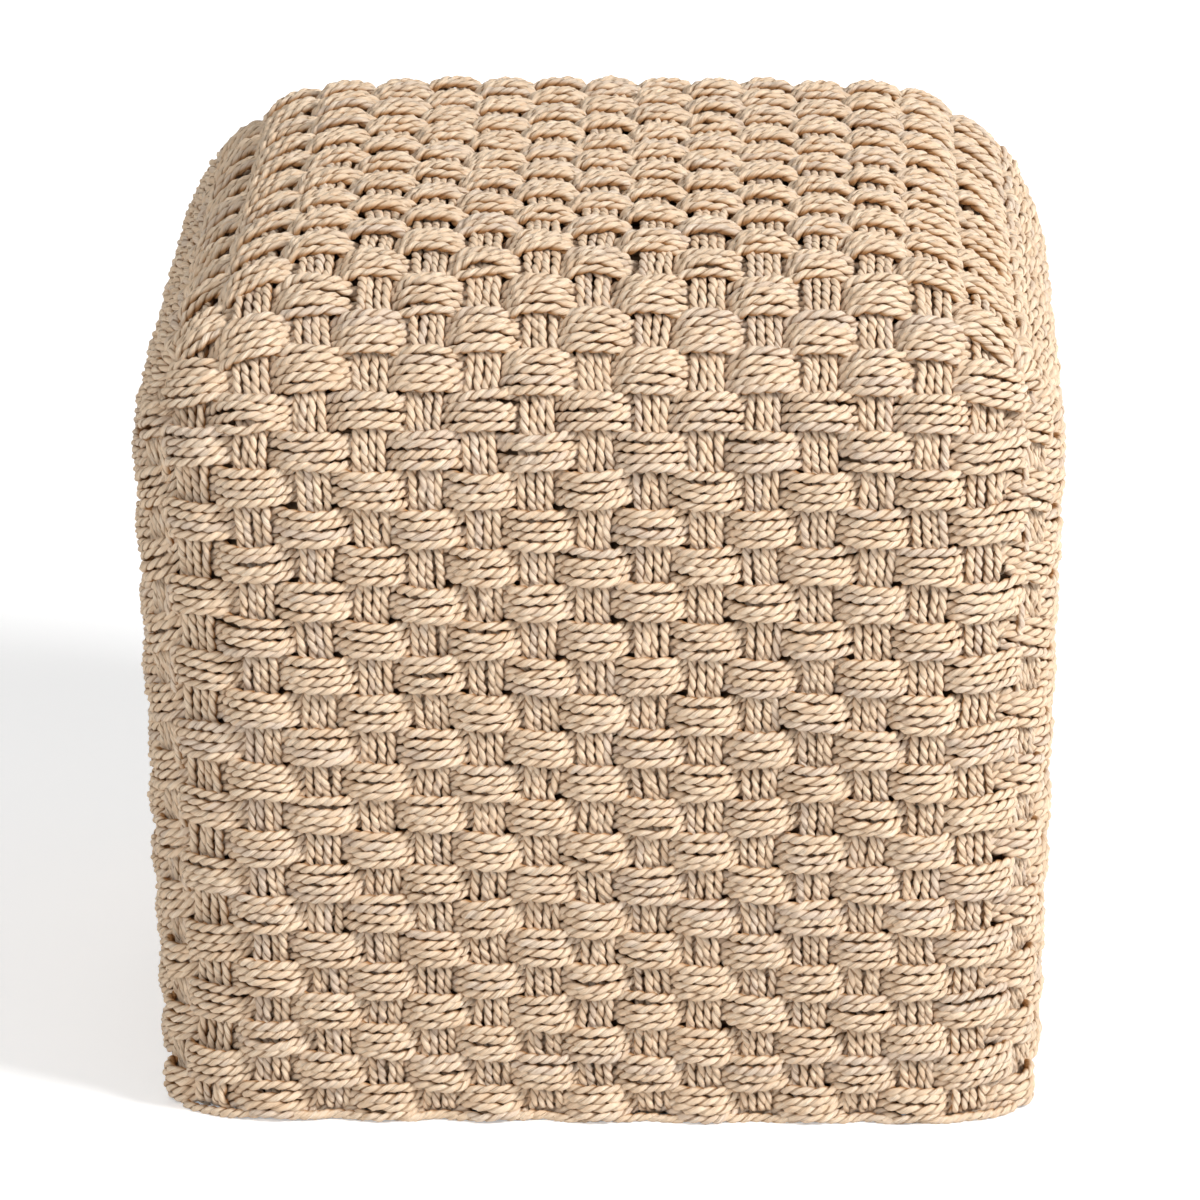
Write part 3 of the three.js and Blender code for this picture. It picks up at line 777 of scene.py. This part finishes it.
def glide_plastic():
    nodes = Nodes(bpy.data.materials.new("glide_plastic"))
    place = nodes.add("ShaderNodeTexCoord").outputs["Object"]
    grain = nodes.noise(place, 1400.0, 2.0, 0.5)
    scuff = nodes.noise(place, 120.0, 4.0, 0.7)
    colour = nodes.mix(nodes.span(scuff, 0.55, 0.75), GLIDE_BLACK, GLIDE_SCUFF)
    nodes.put(nodes.shader, "Base Color", colour)
    nodes.put(nodes.shader, "Roughness", nodes.span(scuff, 0.4, 0.7, 0.5, 0.75))
    nodes.bump(grain, 0.3, 0.0002)
    return nodes.owner


cord_look = cord_material()
finishes = {"frame": painted_tube(), "glide": glide_plastic()}
for part in frame["record"]["subparts"]:
    if part["material_slot"] in finishes:
        for slot in frame["nodes"][part["node"]].material_slots:
            slot.material = finishes[part["material_slot"]]


# Upright groups, from the front hem over the seat to the back hem
for group in range(GROUPS):
    line = upright_line(GROUP_PLACES[group])
    points, _, crossing = line
    phase = math.pi * (crossing + group)
    middle = RINGS + SIDE_GROUPS / 2
    start, full = SIDE_GROUPS / 2 + SEAT_BLEND[0], SIDE_GROUPS / 2 + SEAT_BLEND[1]
    seat = smooth_step(np.abs(crossing - middle), start, full)
    lift = UPRIGHT_LIFT + (SEAT_LIFT - UPRIGHT_LIFT) * seat
    lift = tucked(points, lift + UPRIGHT_SWAY * np.cos(phase))
    slope = past(GROUP_PLACES[group], FLAT_X) / BASE_RADIUS
    spread = 1 + SLOPE_SPREAD * (1 / math.sqrt(1 - slope ** 2) - 1)
    spacing = np.full(len(points), UPRIGHT_SPACING * spread)
    flat = np.zeros(len(points))
    girth = pressed(UPRIGHT_GIRTH, phase)
    cords = group_of_cords(
        UPRIGHT_SEED + group, line, UPRIGHT_CORDS, spacing, lift, flat, girth, UPRIGHT_TWIST,
    )
    piece = cord_piece(f"cords_upright_{group + 1:02d}", cords, cord_look)
    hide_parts("woven_front", "woven_seat", "woven_back")

# Hoops, from the left hem over the seat to the right hem, flat on the sides and floating on top
for band in range(SIDE_GROUPS + 2):
    corner = band in (0, SIDE_GROUPS + 1)
    y0 = (band - (SIDE_GROUPS + 1) / 2) * SIDE_PITCH
    line = corner_hoop_line(-math.copysign(1, y0)) if corner else hoop_line(y0)
    points, _, crossing = line
    phase = math.pi * (crossing + band + 1)
    middle = RINGS + GROUPS / 2 - 0.5
    start, full = GROUPS / 2 + TOP_BLEND[0], GROUPS / 2 + TOP_BLEND[1]
    top = smooth_step(np.abs(crossing - middle), start, full)
    sway = UPRIGHT_SWAY + (FLOAT_SWAY - UPRIGHT_SWAY) * top
    lift = tucked(points, UPRIGHT_LIFT + (FLOAT_LIFT - UPRIGHT_LIFT) * top + sway * full_wave(phase))
    count = CORNER_CORDS if corner else HOOP_CORDS
    flat = CORNER_SPACING if corner else SIDE_SPACING
    pitch = over_edge(y0 + SIDE_PITCH / 2) - over_edge(y0 - SIDE_PITCH / 2)
    spacing = flat + (float_spacing(pitch, count, phase) - flat) * top
    dome = SEAT_DOME * np.maximum(0, np.cos(phase)) * top
    slack = 1 + (SEAT_SLACK - 1) * top
    girth = pressed(SIDE_GIRTH + (FLOAT_GIRTH - SIDE_GIRTH) * top, phase)
    cords = group_of_cords(
        HOOP_SEED + band, line, count, spacing, lift, dome, girth, FLOAT_TWIST, slack=slack,
    )
    piece = cord_piece(f"cords_hoop_{band + 1:02d}", cords, cord_look)
    if band == 0:
        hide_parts("corner_band_front_left", "corner_band_front_right", "woven_seat")
    elif corner:
        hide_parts("corner_band_back_left", "corner_band_back_right", "woven_seat")
    else:
        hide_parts("woven_left", "woven_seat", "woven_right")

# Binding cord round the bottom edge
row_lines = [ring_line(float(row)) for row in ROWS]
line = row_lines[0]
points, _, crossing = line
lift = HEM_LIFT - HEM_SWAY * np.cos(2 * math.pi * crossing)
flat = np.zeros(len(points))
girth = np.full(len(points), UPRIGHT_GIRTH)
cords = group_of_cords(
    HEM_SEED, line, HEM_CORDS, flat, lift, flat, girth, UPRIGHT_TWIST, closed=True,
)
piece = cord_piece("cords_hem", cords, cord_look, bake_rows=LONG_BAKE_ROWS)
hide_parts("woven_front", "woven_left", "woven_back", "woven_right")

# Rings, woven level round all four sides, fuller where they float over the corner groups
for ring in range(RINGS):
    line = ring_line(ring + 0.5)
    crossing = line[2]
    pitch = np.linalg.norm(row_lines[ring + 1][0] - row_lines[ring][0], axis=1)
    phase = math.pi * (crossing + ring)
    from_corner = np.min([np.abs(crossing - number) for number in CORNERS], axis=0)
    over_corner = np.cos(np.minimum(from_corner, 0.5) * math.pi)
    lift = FLOAT_LIFT + (FLOAT_SWAY + CORNER_BULGE * over_corner) * full_wave(phase)
    count = RING_CORDS if ring < RINGS - TOP_RINGS else TOP_RING_CORDS
    dome = FLOAT_DOME * np.maximum(0, np.cos(phase))
    spacing = float_spacing(pitch, count, phase)
    girth = pressed(FLOAT_GIRTH, phase)
    cords = group_of_cords(
        RING_SEED + ring, line, count, spacing, lift, dome, girth, FLOAT_TWIST, closed=True,
    )
    piece = cord_piece(f"cords_ring_{ring + 1:02d}", cords, cord_look, bake_rows=LONG_BAKE_ROWS)
    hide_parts("woven_front", "woven_left", "woven_back", "woven_right")

# One sheet close behind the cords, which stands for the inner side of the weave, not seen
# in the photograph. Its dark brown is painted shade, standing for the shadow inside the weave. It
# keeps light from shining through, and is open at the bottom. The undersides of some cords reach
# through it.
loops = []
for row in np.linspace(0, RINGS, INNER_RINGS):
    points, normals, _ = ring_line(row)
    loops.append((points - normals * INNER_DEPTH)[::INNER_SKIP])
outline = points[::INNER_SKIP]
for share in np.linspace(1, INNER_SEAT_END, INNER_SEAT_RINGS)[1:]:
    x, y = outline[:, 0] * share, outline[:, 1] * share
    z = SHOULDER + np.sqrt(np.maximum(0, BASE_RADIUS ** 2 - reach_of(x, y) ** 2))
    points, normals = placed(x, y, z)
    loops.append(points - normals * INNER_DEPTH)
columns = len(outline)
low = np.arange(len(loops) - 1)[:, None] * columns
start, after = np.arange(columns), (np.arange(columns) + 1) % columns
quads = np.stack([low + start, low + after, low + columns + after, low + columns + start], axis=-1)
closing = low[-1] + columns + start
mesh = bpy.data.meshes.new("weave_inside_shade")
mesh.from_pydata(np.concatenate(loops), [], [*quads.reshape(-1, 4).tolist(), closing.tolist()])
layer = mesh.uv_layers.new(name="OFBake")
u = np.broadcast_to(np.stack([start, start + 1, start + 1, start], axis=-1) / columns, quads.shape)
v = np.broadcast_to((low // columns)[..., None] + np.array([0, 0, 1, 1]), quads.shape) / len(loops)
cap = np.stack([start / columns, np.full(columns, 1.0)], axis=1)
pairs = np.concatenate([np.stack([u.ravel(), v.ravel()], axis=1), cap]).astype(np.float32)
layer.uv.foreach_set("vector", pairs.ravel())
piece = cover_piece("weave_inside_shade", mesh, inner_weave_shade())
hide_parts("woven_front", "woven_left", "woven_back", "woven_right", "woven_seat")


# Camera, fitted to the photograph
FOCAL_PX = 7611
PICTURE_PX = 1200
SENSOR_MM = 36
VIEW_END = 50
CAMERA_ELEVATION = math.radians(18.98)
CAMERA_SWING = -0.026
CAMERA_DISTANCE = 3.899
CAMERA_ROLL = -0.0047
BODY_MIDDLE = Vector((0, 0, 0.2145))
MIDDLE_RIGHT_PX = 6.64
MIDDLE_UP_PX = 29.6


def aim(camera, place, target, right_px, up_px, roll, focal_px):
    """Looks from place so that the target shows right_px and up_px off the picture's middle."""
    forward = (target - place).normalized()
    right = forward.cross(Vector((0, 0, 1))).normalized()
    up = right.cross(forward)
    forward = (forward - right * (right_px / focal_px) - up * (up_px / focal_px)).normalized()
    right = forward.cross(Vector((0, 0, 1))).normalized()
    up = right.cross(forward)
    turn = Matrix((right, up, -forward)).transposed().to_4x4()
    camera.matrix_world = Matrix.Translation(place) @ turn @ Matrix.Rotation(roll, 4, "Z")


camera_data = bpy.data.cameras.new("camera")
camera_data.sensor_width = SENSOR_MM
camera_data.lens = SENSOR_MM * FOCAL_PX / PICTURE_PX
camera_data.clip_end = VIEW_END
camera = bpy.data.objects.new("camera", camera_data)
bpy.context.scene.collection.objects.link(camera)
bpy.context.scene.camera = camera
away = Vector((
    -math.sin(CAMERA_SWING) * math.cos(CAMERA_ELEVATION),
    -math.cos(CAMERA_SWING) * math.cos(CAMERA_ELEVATION),
    math.sin(CAMERA_ELEVATION),
))
aim(
    camera, BODY_MIDDLE + away * CAMERA_DISTANCE, BODY_MIDDLE,
    MIDDLE_RIGHT_PX, MIDDLE_UP_PX, CAMERA_ROLL, FOCAL_PX,
)


# Light
LAMPS = (
    # Name, place, target, size, power
    ("key", (2.75, -1.5, 2.25), (0, 0, 0.25), 0.9, 150),
    ("fill", (-1.6, -2.8, 1.8), (0, 0, 0.25), 2.0, 54),
    ("back", (-0.6, 2.6, 2.6), (0, 0, 0.3), 2.0, 30),
)
WORLD_LIGHT = 0.2


def area_light(name, place, target, size, power):
    data = bpy.data.lights.new(name, "AREA")
    data.shape = "SQUARE"
    data.size = size
    data.energy = power
    lamp = bpy.data.objects.new(name, data)
    bpy.context.scene.collection.objects.link(lamp)
    lamp.location = place
    lamp.rotation_euler = (Vector(target) - Vector(place)).to_track_quat("-Z", "Y").to_euler()


for lamp_settings in LAMPS:
    area_light(*lamp_settings)

# White surroundings, which light the part less brightly than they look
world = bpy.data.worlds.new("studio")
bpy.context.scene.world = world
nodes = Nodes(world, "Background")
nodes.put(nodes.shader, "Color", WHITE)
nodes.put(nodes.shader, "Strength", nodes.span(nodes.seen(), 0.0, 1.0, WORLD_LIGHT, 1.0))

# White floor that glows where it is seen, less near the part, so that shadows show there, and not
# at all beneath it
FLOOR_REACH = 14.0
GLOW_NEAR = 0.9
GLOW_FAR = 3.5
GLOW_LEAST = 0.35
SHADE_HALF = 0.206
SHADE_POWER = 8
floor_mesh = bpy.data.meshes.new("floor")
corners = [(x * FLOOR_REACH, y * FLOOR_REACH, 0) for x, y in ((-1, -1), (1, -1), (1, 1), (-1, 1))]
floor_mesh.from_pydata(corners, [], [(0, 1, 2, 3)])
floor = bpy.data.objects.new("floor", floor_mesh)
bpy.context.scene.collection.objects.link(floor)
nodes = Nodes(bpy.data.materials.new("studio_floor"))
place = nodes.add("ShaderNodeTexCoord").outputs["Object"]
mottle = nodes.span(nodes.noise(place, 3.0, 3.0), 0.3, 0.7, 0.86, 0.9)
nodes.put(nodes.shader, "Base Color", nodes.mix(mottle, BLACK, WHITE))
nodes.put(nodes.shader, "Roughness", 0.9)
nodes.put(nodes.shader, "Emission Color", WHITE)
away = nodes.add("ShaderNodeVectorMath", {0: place}, operation="LENGTH").outputs["Value"]
glow = nodes.span(away, GLOW_NEAR, GLOW_FAR, GLOW_LEAST, 1.0)
parts = nodes.add("ShaderNodeSeparateXYZ", {0: place})
aside = [nodes.math("POWER", nodes.math("ABSOLUTE", part), SHADE_POWER) for part in parts.outputs[:2]]
outside = nodes.math("GREATER_THAN", nodes.math("ADD", *aside), SHADE_HALF ** SHADE_POWER)
glow = nodes.math("MULTIPLY", glow, outside)
nodes.put(nodes.shader, "Emission Strength", nodes.math("MULTIPLY", nodes.seen(), glow))
floor_mesh.materials.append(nodes.owner)

bpy.context.scene.view_settings.view_transform = "Standard"
